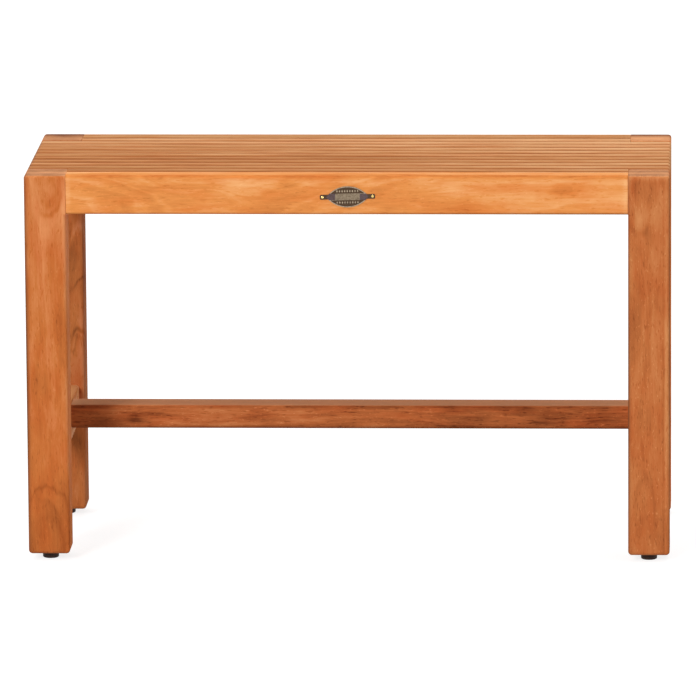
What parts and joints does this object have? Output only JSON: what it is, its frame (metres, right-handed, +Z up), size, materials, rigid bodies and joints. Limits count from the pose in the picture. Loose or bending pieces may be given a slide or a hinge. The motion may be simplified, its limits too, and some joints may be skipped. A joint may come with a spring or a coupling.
{
  "type": "shower bench",
  "caption": "Teak shower bench with a slatted seat flush with square legs, low side rails, a long stretcher and screw-in levelling feet.",
  "frame": {"origin": "centre of the footprint, on the floor under the foot pads", "axes": "+X along the seat towards the right legs as seen from the front, +Y from the nameplate side to the back, +Z up"},
  "size_m": [0.762, 0.3053, 0.465],
  "materials": {
    "teak_leg": "oiled teak, reddish brown, satin",
    "teak_apron": "oiled teak, golden, satin",
    "teak_slat": "oiled teak, tan, satin",
    "teak_rail": "oiled teak, brown, satin",
    "teak_stretcher": "oiled teak, dark red-brown, satin",
    "stainless_steel": "plain stainless screws",
    "antique_bronze": "cast and darkened, rubbed on the relief",
    "bright_brass": "polished pin heads",
    "insert_brass": "turned brass",
    "zinc_steel": "zinc plated",
    "black_rubber": "moulded, slightly shiny"
  },
  "bodies": {
    "frame": {"front_left_leg": "teak_leg", "front_right_leg": "teak_leg", "back_left_leg": "teak_leg", "back_right_leg": "teak_leg", "front_apron": "teak_apron", "back_apron": "teak_apron", "left_seat_rail": "teak_rail", "right_seat_rail": "teak_rail", "centre_batten": "teak_rail", "slat_01": "teak_slat", "slat_02": "teak_slat", "slat_03": "teak_slat", "slat_04": "teak_slat", "slat_05": "teak_slat", "slat_06": "teak_slat", "slat_07": "teak_slat", "slat_08": "teak_slat", "slat_09": "teak_slat", "slat_10": "teak_slat", "slat_11": "teak_slat", "left_low_rail": "teak_rail", "right_low_rail": "teak_rail", "long_stretcher": "teak_stretcher", "left_rail_screws": "stainless_steel", "batten_screws": "stainless_steel", "right_rail_screws": "stainless_steel", "nameplate": "antique_bronze", "nameplate_pins": "bright_brass", "front_left_insert": "insert_brass", "front_right_insert": "insert_brass", "back_left_insert": "insert_brass", "back_right_insert": "insert_brass"},
    "front_left_foot": {"front_left_foot_stud": "zinc_steel", "front_left_foot_pad": "black_rubber"},
    "front_right_foot": {"front_right_foot_stud": "zinc_steel", "front_right_foot_pad": "black_rubber"},
    "back_left_foot": {"back_left_foot_stud": "zinc_steel", "back_left_foot_pad": "black_rubber"},
    "back_right_foot": {"back_right_foot_stud": "zinc_steel", "back_right_foot_pad": "black_rubber"}
  },
  "joints": [
    {"name": "front_left_foot_screw", "type": "slide", "parent": "frame", "child": "front_left_foot", "axis": [0, 0, -1], "range_m": [0, 0.008]},
    {"name": "front_right_foot_screw", "type": "slide", "parent": "frame", "child": "front_right_foot", "axis": [0, 0, -1], "range_m": [0, 0.008]},
    {"name": "back_left_foot_screw", "type": "slide", "parent": "frame", "child": "back_left_foot", "axis": [0, 0, -1], "range_m": [0, 0.008]},
    {"name": "back_right_foot_screw", "type": "slide", "parent": "frame", "child": "back_right_foot", "axis": [0, 0, -1], "range_m": [0, 0.008]}
  ]
}
